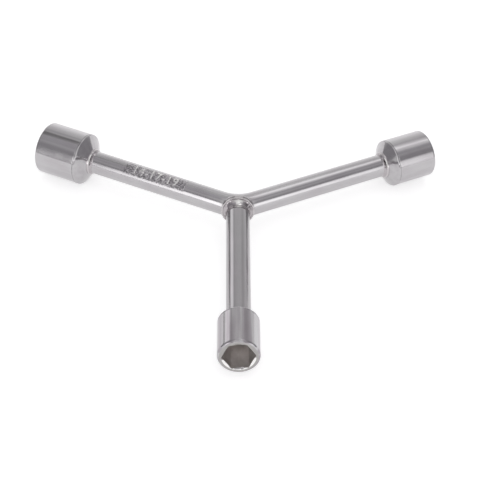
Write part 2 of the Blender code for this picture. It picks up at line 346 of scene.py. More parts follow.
class WrenchSizes(bpy.types.PropertyGroup):
    """The wrench's own sizes. Sizes in threes are for the left, the right and the front arm."""

    bar_diameter: length("Bar diameter", "Thickness of both round bars", 0.0120)
    bend_angle: angle("Bend angle", "How far the side bar turns at its bend", math.radians(54.0))
    bend_radius: length("Bend radius", "Radius of the side bar's centre line in its bend", 0.0180)
    shanks: length(
        "Shanks", "From the crossing point to the back of each socket", (0.0867, 0.0873, 0.0868)
    )
    socket_lengths: length(
        "Socket lengths", "From the back of each socket to its mouth", (0.0281, 0.0257, 0.0253)
    )
    across_flats: length("Across flats", "Width of each hexagon", (0.0190, 0.0170, 0.0140))
    walls: length(
        "Walls", "Thickness of each socket's wall over the corners of its hexagon",
        (0.00278, 0.002685, 0.002017), precision=5,
    )
    hex_depths: length(
        "Hexagon depths", "Depth of the flats from each mouth", (0.0175, 0.0170, 0.0165)
    )
    mouth_roundings: length(
        "Mouth roundings", "Rounding of each mouth's outer edge", (0.0011, 0.0008, 0.0012)
    )
    hex_turns: FloatVectorProperty(
        name="Hexagon turns", description="How far each hexagon is turned about its arm",
        default=(0.0, 0.0, math.radians(6.0)), size=3, subtype="EULER",
    )
    shoulder_angle: angle(
        "Shoulder angle", "Slope of the sockets' shoulders, from the arm's axis",
        math.radians(60.0),
    )
    shoulder_rounding: length(
        "Shoulder rounding", "Rounding between shoulder and cylinder", 0.0008
    )
    seat_depth: length("Seat depth", "How far a bar goes into the back of its socket", 0.0040)
    collar_diameter: length(
        "Collar diameter", "Width of the weld collar at the joint of the bars", 0.0172
    )
    collar_heights: length(
        "Collar heights", "Back, face and toe of the collar, out along the front arm",
        (0.0003, 0.0030, 0.0072),
    )
    marking_place: length(
        "Marking place", "Middle, length and width of the marking on the left arm",
        (0.0472, 0.0356, 0.0068),
    )
    marking_angle: angle(
        "Marking angle", "Where the marking's middle lies round the bar, up from the front",
        math.radians(66.0),
    )
    marking_text: StringProperty(
        name="Marking", description="Plain sizes of the three hexagons, in millimetres",
        default="14-17-19",
    )


class WrenchFinish(bpy.types.PropertyGroup):
    """Colours and roughness of the wrench's finishes."""

    chrome_colour: colour("Chrome", "Colour of the satin chrome", (0.488, 0.477, 0.488))
    # The front bar's darker colour is painted shade, standing in for the darker things it mirrors
    bar_colour: colour(
        "Front bar chrome", "Colour of the front bar's slightly darker chrome",
        (0.372, 0.361, 0.372),
    )
    stain_colour: colour(
        "Chrome shade", "Darker, warmer colour of the chrome's patches", (0.421, 0.393, 0.414)
    )
    weld_colour: colour("Weld", "Colour of the plated weld beads", (0.435, 0.407, 0.421))
    face_colour: colour(
        "End face", "Colour of the sockets' duller end faces", (0.375, 0.365, 0.358)
    )
    pocket_colour: colour(
        "Pocket", "Colour of the broached hexagon pockets", (0.660, 0.634, 0.624)
    )
    cut_colour: colour(
        "Cut edge", "Colour of the bright, freshly cut countersinks", (0.830, 0.820, 0.810)
    )
    chrome_roughness: factor("Chrome roughness", "Roughness of the satin chrome", 0.13)
    bar_roughness: factor("Bar roughness", "Roughness of the bars' chrome", 0.17)
    weld_roughness: factor("Weld roughness", "Roughness of the plated weld beads", 0.15)
    pocket_roughness: factor("Pocket roughness", "Roughness of the broached pockets", 0.36)
    noise_seed: IntProperty(
        name="Bead pattern", description="Which pattern of ripples the weld beads get",
        default=3, min=0,
    )


class WrenchStage(bpy.types.PropertyGroup):
    """The floor, the light and the camera."""

    floor_colour: colour("Floor", "Colour of the floor", (0.80, 0.80, 0.80))
    floor_glow: factor("Floor glow", "How much white the floor shows by itself", 0.55)
    room_level: FloatProperty(
        name="Room level", description="Strength of the room's even light",
        default=1.08, min=0.0,
    )
    focal_length: FloatProperty(
        name="Focal length", description="The camera's focal length, for a sensor 36 mm wide",
        default=107.75, min=1.0, unit="CAMERA",
    )
    camera_distance: length(
        "Camera distance", "From the camera to the crossing point", 0.7697
    )
    camera_azimuth: angle(
        "Camera azimuth", "How far the camera stands round to the side", -0.02832
    )
    camera_elevation: angle("Camera elevation", "How far the camera looks down", 0.6796)
    camera_roll: angle("Camera roll", "How far the camera leans", -0.0292)
    crossing_pixel: FloatVectorProperty(
        name="Crossing in view",
        description="Where the crossing point lies in a view 500 wide and 500 high",
        default=(237.85, 207.93), size=2,
    )


# ---- arms and outlines


def crossing_point():
    """Where the axes of the bars cross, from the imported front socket."""
    sizes = bpy.context.scene.wrench_sizes
    low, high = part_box("front_socket")
    reach = sizes.shanks[FRONT] + sizes.socket_lengths[FRONT]
    return Vector(((low.x + high.x) / 2, low.y + reach, (low.z + high.z) / 2))


def arm_of(index):
    """The place and the sizes of one arm."""
    sizes = bpy.context.scene.wrench_sizes
    rise = sizes.bend_angle / 2
    heading = (math.pi - rise, rise, -math.pi / 2)[index]
    out = Vector((math.cos(heading), math.sin(heading), 0.0))
    turn = Matrix((UP.cross(out), UP, out)).transposed().to_4x4()
    return Arm(
        name=ARM_NAMES[index],
        out=out,
        frame=Matrix.Translation(crossing_point()) @ turn,
        shank=sizes.shanks[index],
        length=sizes.socket_lengths[index],
        across_flats=sizes.across_flats[index],
        corner=sizes.across_flats[index] / 2 / math.cos(math.pi / 6),
        wall=sizes.walls[index],
        hex_depth=sizes.hex_depths[index],
        rounding=sizes.mouth_roundings[index],
        turn=sizes.hex_turns[index],
    )


def bend_of(sizes):
    """Half the bend's angle, its tangent's length, and how far behind the crossing it centres."""
    half = sizes.bend_angle / 2
    return half, sizes.bend_radius * math.tan(half), sizes.bend_radius / math.cos(half)


def rounded(before, corner, after, radius, steps=ROUNDING_STEPS):
    """The arc that rounds a corner of an outline, given the points before and after it."""
    corner = Vector(corner)
    to_before = (Vector(before) - corner).normalized()
    to_after = (Vector(after) - corner).normalized()
    half_angle = to_before.angle(to_after) / 2
    centre = corner + (to_before + to_after).normalized() * radius / math.sin(half_angle)
    spoke = corner + to_before * radius / math.tan(half_angle) - centre
    turn = math.pi - 2 * half_angle
    if to_before.cross(to_after) > 0:
        turn = -turn
    return [centre + Matrix.Rotation(turn * step / steps, 2) @ spoke for step in range(steps + 1)]


def bulge(start, end, rise_share, steps):
    """An arc from start to end that rises above its chord, or sinks if the share is negative."""
    start, end = Vector(start), Vector(end)
    chord = end - start
    normal = Vector((-chord.y, chord.x))
    shares = [step / steps for step in range(steps + 1)]
    return [
        start + chord * share + normal * (4 * rise_share * share * (1 - share))
        for share in shares
    ]


def points(places, role=ROUND, worn=0.0, soot=0.0):
    return [OutlinePoint(place[0], place[1], role, worn, soot) for place in places]


# ---- mesh helpers


def turned(outline, closed=False, steps=TURN_STEPS):
    """A shape turned about local Z, with each outline point's role, its wear, which on the weld
    beads also paints highlights, and its painted shade kept.
    """
    shape = bmesh.new()
    role = shape.verts.layers.int.new("role")
    worn = shape.verts.layers.float.new("edge_wear_and_highlight")
    soot = shape.verts.layers.float.new("painted_crevice_shade")
    corners = []
    for point in outline:
        corner = shape.verts.new((point.radius, 0.0, point.height))
        corner[role], corner[worn], corner[soot] = point.role, point.worn, point.soot
        corners.append(corner)
    edges = [shape.edges.new(pair) for pair in zip(corners, corners[1:])]
    if closed:
        edges.append(shape.edges.new((corners[-1], corners[0])))
    bmesh.ops.spin(
        shape, geom=corners + edges, cent=(0.0, 0.0, 0.0), axis=(0.0, 0.0, 1.0),
        angle=2 * math.pi, steps=steps, use_merge=True,
    )
    bmesh.ops.remove_doubles(shape, verts=shape.verts, dist=MERGE_DISTANCE)
    bmesh.ops.recalc_face_normals(shape, faces=shape.faces)
    return shape


def move_out(vert, reach):
    """Moves a vertex straight out to that distance from its arm's axis."""
    vert.co.x, vert.co.y = vert.co.xy.normalized() * reach


def store_places(shape, place_of=Vector):
    """Keeps each vertex's place in its arm's own frame, which the finishes read."""
    layer = shape.verts.layers.float_vector.new("arm_place")
    for vert in shape.verts:
        vert[layer] = place_of(vert.co)


def finish_piece(name, shape, matrix, materials, slot, *nodes):
    """Makes a mesh object of a shape, lets it ride on the wrench and stand for its CAD node."""
    missing = [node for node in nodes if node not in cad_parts]
    if missing:
        raise RuntimeError(f"the packed wrench has no node {missing}")
    bmesh.ops.transform(shape, matrix=matrix, verts=shape.verts)
    role = shape.verts.layers.int.get("role")
    if role:
        shape.verts.layers.int.remove(role)
    mesh = bpy.data.meshes.new(name)
    shape.to_mesh(mesh)
    shape.free()
    for material in materials:
        mesh.materials.append(material)
    mesh.shade_smooth()
    mesh.set_sharp_from_angle(angle=SHARP_ANGLE)
    piece = bpy.data.objects.new(name, mesh)
    bpy.context.scene.collection.objects.link(piece)
    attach(piece, BODY)
    if nodes:
        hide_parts(*nodes)


# ---- shader helpers


def fill(tree, node, inputs):
    """Links the sockets and sets the values that are given for a node's inputs."""
    for name, value in inputs.items():
        if isinstance(value, bpy.types.NodeSocket):
            tree.links.new(value, node.inputs[name])
        else:
            node.inputs[name].default_value = value


def add_node(tree, kind, label, inputs=None, **settings):
    node = tree.nodes.new("ShaderNode" + kind)
    node.name = node.label = label
    for name, value in settings.items():
        setattr(node, name, value)
    fill(tree, node, inputs or {})
    return node


def math_node(tree, operation, label, *values, clamp=False):
    """What a Math node makes of values that are sockets or numbers."""
    inputs = dict(enumerate(values))
    node = add_node(tree, "Math", label, inputs, operation=operation, use_clamp=clamp)
    return node.outputs[0]


def mapped(tree, label, value, low, high, to_low, to_high, **settings):
    """A value carried over from one range to another."""
    ends = {"From Min": low, "From Max": high, "To Min": to_low, "To Max": to_high}
    return add_node(tree, "MapRange", label, {"Value": value, **ends}, **settings).outputs["Result"]


def mixed(tree, label, share, first, second, blend="MIX"):
    """The first colour, mixed with a share of the second."""
    inputs = {"Factor": share, "A": first, "B": second}
    node = add_node(tree, "Mix", label, inputs, data_type="RGBA", blend_type=blend)
    return node.outputs["Result"]


def ramp(tree, label, value, stops):
    """A colour by a value, from stops of a position and a colour."""
    node = add_node(tree, "ValToRGB", label, {"Fac": value})
    elements = node.color_ramp.elements
    for place, (position, tone) in enumerate(stops):
        element = elements[place] if place < 2 else elements.new(position)
        element.position = position
        element.color = (*tone, 1.0)
    return node.outputs["Color"]


def noise_on(tree, place, label, recipe):
    """Noise on the arm's place, with its own scale in each of the arm's directions."""
    *scales, detail, roughness = recipe
    mapping = add_node(tree, "Mapping", label + " stretch", {"Scale": scales, "Vector": place})
    inputs = {
        "Vector": mapping.outputs["Vector"],
        "Scale": 1.0,
        "Detail": detail,
        "Roughness": roughness,
    }
    return add_node(tree, "TexNoise", label, inputs, noise_dimensions="3D").outputs["Fac"]


def attribute(tree, name, output):
    node = add_node(tree, "Attribute", name, attribute_type="GEOMETRY", attribute_name=name)
    return node.outputs[output]


def separated(tree, label, vector):
    return add_node(tree, "SeparateXYZ", label, {0: vector}).outputs


def new_group(name, inputs, outputs):
    """A node group with sockets listed by kind. Gives it, what it is given and its output."""
    group = bpy.data.node_groups.new(name, "ShaderNodeTree")
    for side, sockets in (("INPUT", inputs), ("OUTPUT", outputs)):
        for kind, labels in sockets.items():
            for label in labels:
                group.interface.new_socket(
                    name=label, in_out=side, socket_type="NodeSocket" + kind
                )
    return group, group.nodes.new("NodeGroupInput").outputs, group.nodes.new("NodeGroupOutput")


def metal(name):
    """A new metal material. Gives it, its tree and its Principled shader."""
    material = bpy.data.materials.new(name)
    material.use_nodes = True
    shader = material.node_tree.nodes["Principled BSDF"]
    shader.inputs["Metallic"].default_value = 1.0
    return material, material.node_tree, shader


# ---- finishes


def plating_group():
    """Patches, streaks, shade painted into crevices, smears, polishing lines and soft waves of a
    chrome plating.
    """
    if "chrome_plating" in bpy.data.node_groups:
        return bpy.data.node_groups["chrome_plating"]
    numbers = ("Roughness", *PLATING_AMOUNTS, "Wear And Highlight", "Soot")
    group, given, result = new_group(
        "chrome_plating",
        {"Vector": ("Place",), "Color": ("Colour", "Shade"), "Float": numbers},
        {"Color": ("Colour",), "Float": ("Roughness", "Height")},
    )
    patches, streaks, specks, smears, lines, waves, pits = (
        noise_on(group, given["Place"], label, recipe) for label, recipe in PLATING_NOISES.items()
    )

    patch = mapped(group, "patch strength", patches, *PATCH_RANGE)
    sound = math_node(group, "SUBTRACT", "less shade on worn edges", 1.0, given["Wear And Highlight"])
    patch = math_node(group, "MULTIPLY", "shade where plated", patch, sound)
    tone = mixed(group, "shaded chrome", patch, given["Colour"], given["Shade"])
    streak = mapped(group, "streak strength", streaks, *STREAK_RANGE)
    streak = math_node(group, "MULTIPLY", "streaks along the arm", streak, given["Streaks"])
    tone = mixed(group, "streaked chrome", streak, tone, STREAK_TINT, "MULTIPLY")
    # Shade painted dark into crevices and grooves, speckled by noise
    soot = mapped(group, "soot strength", specks, *PAINTED_SHADE_RANGE)
    soot = math_node(group, "MULTIPLY", "soot in crevices", soot, given["Soot"])
    tone = mixed(group, "chrome with soot", soot, tone, PAINTED_SHADE_COLOUR)

    spread = math_node(group, "SUBTRACT", "smears about zero", smears, 0.5)
    grain = math_node(group, "SUBTRACT", "lines about zero", lines, 0.5)
    rough = given["Roughness"]
    for label, amount, strength in (
        ("smeared", spread, given["Smears"]),
        ("lined", grain, LINE_ROUGHNESS),
        ("worn", given["Wear And Highlight"], WORN_ROUGHNESS),
        ("painted_dark", soot, PAINTED_SHADE_ROUGHNESS),
    ):
        rough = math_node(group, "MULTIPLY_ADD", label + " roughness", amount, strength, rough)
    rough = math_node(group, "MAXIMUM", "roughness from zero", rough, 0.0)

    height = math_node(group, "MULTIPLY", "orange peel", pits, PIT_HEIGHT)
    for label, relief, share, scale in (
        ("line", grain, given["Lines"], LINE_HEIGHT),
        ("wave", waves, given["Waves"], WAVE_HEIGHT),
    ):
        relief = math_node(group, "MULTIPLY", label + " relief", relief, share)
        height = math_node(group, "MULTIPLY_ADD", label + " height", relief, scale, height)
    fill(group, result, {"Colour": tone, "Roughness": rough, "Height": height})
    return group


def plated(name):
    """The plating of that name in the table, made when it is first asked for."""
    if name in bpy.data.materials:
        return bpy.data.materials[name]
    finish = bpy.context.scene.wrench_finish
    tone, shade, roughness, *amounts = PLATINGS[name]
    material, tree, shader = metal(name)
    inputs = {
        "Place": attribute(tree, "arm_place", "Vector"),
        "Wear And Highlight": attribute(tree, "edge_wear_and_highlight", "Fac"),
        "Soot": attribute(tree, "painted_crevice_shade", "Fac"),
        "Colour": (*getattr(finish, tone + "_colour"), 1.0),
        "Shade": (*getattr(finish, shade + "_colour"), 1.0),
        "Roughness": getattr(finish, roughness + "_roughness"),
        **dict(zip(PLATING_AMOUNTS, amounts)),
    }
    plating = add_node(tree, "Group", "plating", inputs, node_tree=plating_group()).outputs
    relief = {"Height": plating["Height"], "Strength": 1.0, "Distance": 1.0}
    fill(tree, shader, {
        "Base Color": plating["Colour"],
        "Roughness": plating["Roughness"],
        "Normal": add_node(tree, "Bump", "relief", relief).outputs["Normal"],
    })
    return material


def weld_chrome():
    """Plating on the weld beads, brighter with their wear, which also paints highlights on the lips
    and on the cove's top.
    """
    if "bead_plating" in bpy.data.materials:
        return bpy.data.materials["bead_plating"]
    material = plated("bead_plating")
    tree = material.node_tree
    bright = (*bpy.context.scene.wrench_finish.cut_colour, 1.0)
    # Mixes towards the bright cut colour by wear, which paints highlights on the beads' lips and
    # the cove's top
    tone = mixed(
        tree, "worn bright", tree.nodes["edge_wear_and_highlight"].outputs["Fac"],
        tree.nodes["plating"].outputs["Colour"], bright,
    )
    fill(tree, tree.nodes["Principled BSDF"], {"Base Color": tone})
    return material


def pocket_steel():
    """Thin, dull plating in the pockets, scored lengthways by the broach, with light painted in as
    a brighter colour deeper in.
    """
    if "pocket_plating" in bpy.data.materials:
        return bpy.data.materials["pocket_plating"]
    finish = bpy.context.scene.wrench_finish
    material, tree, shader = metal("pocket_plating")
    place = attribute(tree, "arm_place", "Vector")
    scores = noise_on(tree, place, "broach scores", BROACH_SCORES)
    tarnish = ramp(
        tree, "tarnish colours", noise_on(tree, place, "tarnish", TARNISH), TARNISH_STOPS
    )
    height = separated(tree, "height in the socket", place)["Z"]
    near_mouth = mapped(tree, "near the mouth", height, *POCKET_DEPTH_RANGE)
    # Painted light: the pocket is brighter deeper in
    deep = [min(1.0, part * DEEP_PAINTED_LIGHT) for part in finish.pocket_colour]
    tone = mixed(
        tree, "painted light by depth", near_mouth, (*deep, 1.0), (*finish.pocket_colour, 1.0)
    )
    even_roughness = finish.pocket_roughness - SCORE_ROUGHNESS / 2
    relief = {"Height": scores, "Strength": 1.0, "Distance": SCORE_HEIGHT}
    fill(tree, shader, {
        "Metallic": POCKET_METAL,
        "Base Color": mixed(tree, "tarnished plating", 1.0, tone, tarnish, "MULTIPLY"),
        "Roughness": math_node(
            tree, "MULTIPLY_ADD", "scored roughness", scores, SCORE_ROUGHNESS, even_roughness
        ),
        "Normal": add_node(tree, "Bump", "score relief", relief).outputs["Normal"],
    })
    return material


def marked_chrome():
    """The side bar's chrome, with a stippled panel round the raised sizes on the left arm."""
    if "marked_chrome" in bpy.data.materials:
        return bpy.data.materials["marked_chrome"]
    sizes = bpy.context.scene.wrench_sizes
    material = plated("marked_chrome")
    tree = material.node_tree
    plating = tree.nodes["plating"].outputs
    place = tree.nodes["arm_place"].outputs["Vector"]
    parts = separated(tree, "round and along the bar", place)

    middle, long, wide = sizes.marking_place
    half_bend, tangent, _ = bend_of(sizes)
    along_middle = -(middle - tangent + sizes.bend_radius * half_bend)
    round_bar = math_node(tree, "ARCTAN2", "angle round the bar", parts["Y"], parts["X"])
    turn = math_node(tree, "SUBTRACT", "angle from the middle", round_bar, sizes.marking_angle)
    across = math_node(tree, "MULTIPLY", "width from the middle", turn, sizes.bar_diameter / 2)
    along = math_node(tree, "SUBTRACT", "length from the middle", parts["Z"], along_middle)
    borders = []
    for label, distance, half in (("width", across, wide / 2), ("length", along, long / 2)):
        off = math_node(tree, "ABSOLUTE", label + " off middle", distance)
        borders.append(math_node(tree, "SUBTRACT", label + " past border", off, half))
    past = math_node(tree, "MAXIMUM", "past either border", *borders)
    ragged = noise_on(tree, place, "ragged border", RAGGED_BORDER)
    past = math_node(tree, "MULTIPLY_ADD", "ragged border line", ragged, BORDER_WOBBLE, past)
    panel = mapped(tree, "panel", past, *PANEL_RANGE, interpolation_type="SMOOTHSTEP")

    stipple = noise_on(tree, place, "stipple", STIPPLE)
    coarse = noise_on(tree, place, "uneven stamping", UNEVEN_STAMPING)
    stamping = ramp(tree, "stamping tones", coarse, STAMPING_STOPS)
    relief = math_node(tree, "ADD", "stipple and stamping", stipple, coarse)
    relief = math_node(tree, "MULTIPLY", "panel relief", relief, panel)
    relief = math_node(
        tree, "MULTIPLY_ADD", "relief with panel", relief, STIPPLE_HEIGHT, plating["Height"]
    )
    fill(tree, tree.nodes["relief"], {"Height": relief})
    fill(tree, tree.nodes["Principled BSDF"], {
        "Base Color": mixed(tree, "panel colour", panel, plating["Colour"], stamping, "MULTIPLY"),
        "Roughness": math_node(
            tree, "MULTIPLY_ADD", "roughness with panel", panel, PANEL_ROUGHNESS,
            plating["Roughness"], clamp=True,
        ),
    })
    return material


# ---- bars


def side_bar_place(crossing, sizes):
    """A function from a point of the side bar to its place across, up and along the bar."""
    half, tangent, behind = bend_of(sizes)
    centre = crossing + Vector((0.0, behind, 0.0))
    arms = ((arm_of(LEFT), -1.0), (arm_of(RIGHT), 1.0))

    def place_of(point):
        spoke = point - crossing
        for arm, side in arms:
            along = spoke.dot(arm.out)
            if along > tangent:
                across = -side * spoke.dot(UP.cross(arm.out))
                past_bend = along - tangent + sizes.bend_radius * half
                return Vector((across, spoke.z, side * past_bend))
        turn = math.atan2(point.x - centre.x, centre.y - point.y)
        across = (point.xy - centre.xy).length - sizes.bend_radius
        return Vector((across, spoke.z, sizes.bend_radius * turn))

    return place_of


def grow(shape, edges, matrices):
    """Extrudes a ring of edges once for each matrix, moving the new ring by it."""
    for matrix in matrices:
        made = bmesh.ops.extrude_edge_only(shape, edges=edges)["geom"]
        verts = {item for item in made if isinstance(item, bmesh.types.BMVert)}
        edges = [item for item in made if isinstance(item, bmesh.types.BMEdge)]
        edges = [edge for edge in edges if set(edge.verts) <= verts]
        bmesh.ops.transform(shape, matrix=matrix, verts=list(verts))


class WRENCH_OT_side_bar(bpy.types.Operator):
    """Sweep the side bar from the left socket round the bend to the right socket"""

    bl_idname = "wrench.side_bar"
    bl_label = "Side Bar"

    def execute(self, context):
        sizes = context.scene.wrench_sizes
        crossing = crossing_point()
        left, right = arm_of(LEFT), arm_of(RIGHT)
        _, tangent, behind = bend_of(sizes)
        centre = crossing + Vector((0.0, behind, 0.0))
        left_end, right_end = (arm.shank + sizes.seat_depth for arm in (left, right))

        shape = bmesh.new()
        start = left.frame @ Matrix.Translation((0.0, 0.0, left_end))
        ring = bmesh.ops.create_circle(
            shape, cap_ends=False, radius=sizes.bar_diameter / 2, segments=BAR_SIDES, matrix=start
        )
        edges = list({edge for vert in ring["verts"] for edge in vert.link_edges})
        inwards = Matrix.Translation(left.out * (tangent - left_end) / STRAIGHT_STEPS)
        turn = Matrix.Rotation(sizes.bend_angle / BEND_STEPS, 4, "Z")
        swing = Matrix.Translation(centre) @ turn @ Matrix.Translation(-centre)
        outwards = Matrix.Translation(right.out * (right_end - tangent) / STRAIGHT_STEPS)
        way = [inwards] * STRAIGHT_STEPS + [swing] * BEND_STEPS + [outwards] * STRAIGHT_STEPS
        grow(shape, edges, way)
        rims = [edge for edge in shape.edges if edge.is_boundary]
        bmesh.ops.holes_fill(shape, edges=rims, sides=0)
        bmesh.ops.recalc_face_normals(shape, faces=shape.faces)
        store_places(shape, side_bar_place(crossing, sizes))
        finish_piece(
            "bent_side_bar", shape, Matrix.Identity(4), [marked_chrome()], CHROME_SLOT, "side_bar"
        )
        return {"FINISHED"}


def saddle_height(sizes, sideways, height, clearance):
    """How far out along the front arm the side bar's surface lies, if it is met at all."""
    radius = sizes.bar_diameter / 2 + clearance
    if abs(height) >= radius:
        return -math.inf
    reach = sizes.bend_radius + math.sqrt(radius * radius - height * height)
    behind = bend_of(sizes)[2]
    return math.sqrt(reach * reach - sideways * sideways) - behind


class WRENCH_OT_front_bar(bpy.types.Operator):
    """Turn the front bar, with its butt end hollowed to sit on the bend"""

    bl_idname = "wrench.front_bar"
    bl_label = "Front Bar"

    def execute(self, context):
        sizes = context.scene.wrench_sizes
        arm = arm_of(FRONT)
        radius, end = sizes.bar_diameter / 2, arm.shank + sizes.seat_depth
        start = sizes.collar_heights[1] + sizes.bar_diameter / 4
        outline = points([(radius * share, BUTT_SETBACK) for share in BUTT_SHARES], SADDLE)
        shares = [step / STRAIGHT_STEPS for step in range(STRAIGHT_STEPS + 1)]
        outline += points([(radius, start + (end - start) * share) for share in shares])
        outline += points([(0.0, end)])
        shape = turned(outline, steps=BAR_SIDES)
        role = shape.verts.layers.int["role"]
        for vert in shape.verts:
            if vert[role] == SADDLE:
                saddle = saddle_height(sizes, vert.co.x, vert.co.y, BUTT_CLEARANCE)
                vert.co.z = max(BUTT_SETBACK, saddle)
        store_places(shape)
        finish_piece(
            "straight_front_bar", shape, arm.frame, [plated("bar_chrome")], CHROME_SLOT,
            "front_bar",
        )
        return {"FINISHED"}


# ---- sockets


def hexagon_radius(across_flats, direction):
    """How far a hexagon with softly rounded corners reaches in a direction from its middle."""
    sixth = math.pi / 3
    half_flat = across_flats / 2
    straight = half_flat - HEX_CORNER_RADIUS
    from_flat = abs((direction % sixth) - sixth / 2)
    if from_flat <= math.atan(straight * math.tan(sixth / 2) / half_flat):
        return half_flat / math.cos(from_flat)
    centre = straight / math.cos(sixth / 2)
    off = sixth / 2 - from_flat
    sideways = centre * math.sin(off)
    return centre * math.cos(off) + math.sqrt(HEX_CORNER_RADIUS**2 - sideways**2)


def socket_outline(sizes, arm):
    """From the middle of the pocket's floor, out over mouth and shoulder, to the bar's seat."""
    half_flat = arm.across_flats / 2
    radius = arm.corner + arm.wall
    relief = half_flat * RELIEF_SHARE
    hex_end = arm.length - arm.hex_depth
    floor = hex_end - RELIEF_LENGTH
    sink = arm.corner + COUNTERSINK_MARGIN
    seat = sizes.bar_diameter / 2 + SEAT_CLEARANCE
    seat_end = sizes.seat_depth + SEAT_CLEARANCE

    outline = points([
        (0.0, floor - relief * POCKET_FLOOR_SLOPE),
        (relief * 0.5, floor - relief * 0.5 * POCKET_FLOOR_SLOPE),
        (relief, floor),
        (relief, hex_end),
    ])
    middle_of_flats = (half_flat, arm.length - arm.hex_depth / 2)
    outline += points([(half_flat, hex_end), middle_of_flats], HEX_WALL)
    outline += points([(half_flat, arm.length)], HEX_EDGE_IN, BREAK_WEAR)
    outline += points([(half_flat, arm.length)], HEX_EDGE_OUT, 1.0)
    sink_end = (sink - EDGE_BREAK, arm.length - EDGE_BREAK * COUNTERSINK_SLOPE)
    outline += points([sink_end, (sink + EDGE_BREAK, arm.length)], ROUND, BREAK_WEAR)

    back = (seat + SOCKET_BACK_WIDTH, 0.0)
    shoulder = (radius, (radius - back[0]) / math.tan(sizes.shoulder_angle))
    mouth, face = (radius, arm.length), (0.0, arm.length)
    shoulder_arc = rounded(mouth, shoulder, back, sizes.shoulder_rounding)
    outline += points(rounded(face, mouth, shoulder, arm.rounding), ROUND, MOUTH_WEAR)
    last, line = outline[-1].height, shoulder_arc[0].y + RING_LINE_PLACE
    outline += points([(radius, last + (line - last) * share) for share in WALL_SHARES])
    line_top = (radius, line + RING_LINE_WIDTH / 2)
    line_end = (radius, line - RING_LINE_WIDTH / 2)
    line_bottom = (radius - RING_LINE_DEPTH, line)
    outline += points(rounded(mouth, line_top, line_bottom, *RING_LINE_EDGE), ROUND, BREAK_WEAR)
    # Shade painted into the bottom of the ring line
    outline += points([line_bottom], ROUND, 0.0, 1.0)
    outline += points(
        rounded(line_bottom, line_end, shoulder, *RING_LINE_EDGE), ROUND, BREAK_WEAR
    )
    outline += points(shoulder_arc, ROUND, SHOULDER_WEAR)
    outline += points(rounded(shoulder, back, (seat, 0.0), *SOCKET_BACK_EDGE), ROUND, BACK_WEAR)
    outline += points([(seat, 0.0), (seat, seat_end), (0.0, seat_end)])
    return outline


def broach(shape, arm):
    """Pushes the pocket's rings out to the hexagon and lays its mouth on the countersink."""
    role = shape.verts.layers.int["role"]
    sink = arm.corner + COUNTERSINK_MARGIN
    for vert in shape.verts:
        if vert[role] not in (HEX_WALL, HEX_EDGE_IN, HEX_EDGE_OUT):
            continue
        reach = hexagon_radius(arm.across_flats, math.atan2(vert.co.y, vert.co.x))
        edge = arm.length - (sink - reach) * COUNTERSINK_SLOPE
        if vert[role] == HEX_EDGE_IN:
            vert.co.z = edge - EDGE_BREAK
        elif vert[role] == HEX_EDGE_OUT:
            vert.co.z = edge + EDGE_BREAK
            reach += EDGE_BREAK
        move_out(vert, reach)


def name_surfaces(shape, sizes, arm):
    """Gives the pocket, the countersink and the mouth's face their own finishes, with shade painted
    on the countersink's upper part by giving it the duller face finish.
    """
    half_flat, inside = arm.across_flats / 2, arm.corner + EDGE_BREAK
    sink = inside + COUNTERSINK_MARGIN
    sink_start = arm.length - (sink - half_flat) * COUNTERSINK_SLOPE - EDGE_BREAK
    face_start = arm.length - EDGE_BREAK / 2
    pocket_start = sizes.seat_depth + RELIEF_LENGTH / 4
    for face in shape.faces:
        middle = face.calc_center_median()
        reach, looks_out = middle.xy.length, face.normal.z > 0.5
        if middle.z < pocket_start:
            continue
        if middle.z > face_start and face.normal.z > 0.9:
            face.material_index = FACE
        elif middle.z > sink_start and looks_out and reach < sink:
            # Painted shade: the countersink's upper part gets the duller face finish
            face.material_index = CUT if middle.y < CUT_PAINTED_SHADE_ABOVE else FACE
        elif reach < inside and face.normal.xy.dot(middle.xy) <= 0:
            face.material_index = POCKET
        elif reach < half_flat and looks_out:
            face.material_index = POCKET


class WRENCH_OT_sockets(bpy.types.Operator):
    """Turn the three sockets and broach their hexagon pockets"""

    bl_idname = "wrench.sockets"
    bl_label = "Sockets"

    def execute(self, context):
        sizes = context.scene.wrench_sizes
        for index in (LEFT, RIGHT, FRONT):
            arm = arm_of(index)
            shape = turned(socket_outline(sizes, arm))
            broach(shape, arm)
            store_places(shape)
            name_surfaces(shape, sizes, arm)
            turn = Matrix.Rotation(arm.turn, 4, "Z")
            back = arm.frame @ Matrix.Translation((0.0, 0.0, arm.shank)) @ turn
            finishes = {
                # The front socket's strong streaks are partly painted reflection bands
                OUTSIDE: plated("streaks_and_painted_reflection_chrome" if index == FRONT else "bright_chrome"),
                POCKET: pocket_steel(),
                CUT: plated("cut_chrome"),
                FACE: plated("face_chrome"),
            }
            finish_piece(
                arm.name + "_turned_socket", shape, back, finishes.values(), CHROME_SLOT,
                arm.name + "_socket",
            )
        return {"FINISHED"}


# ---- welds


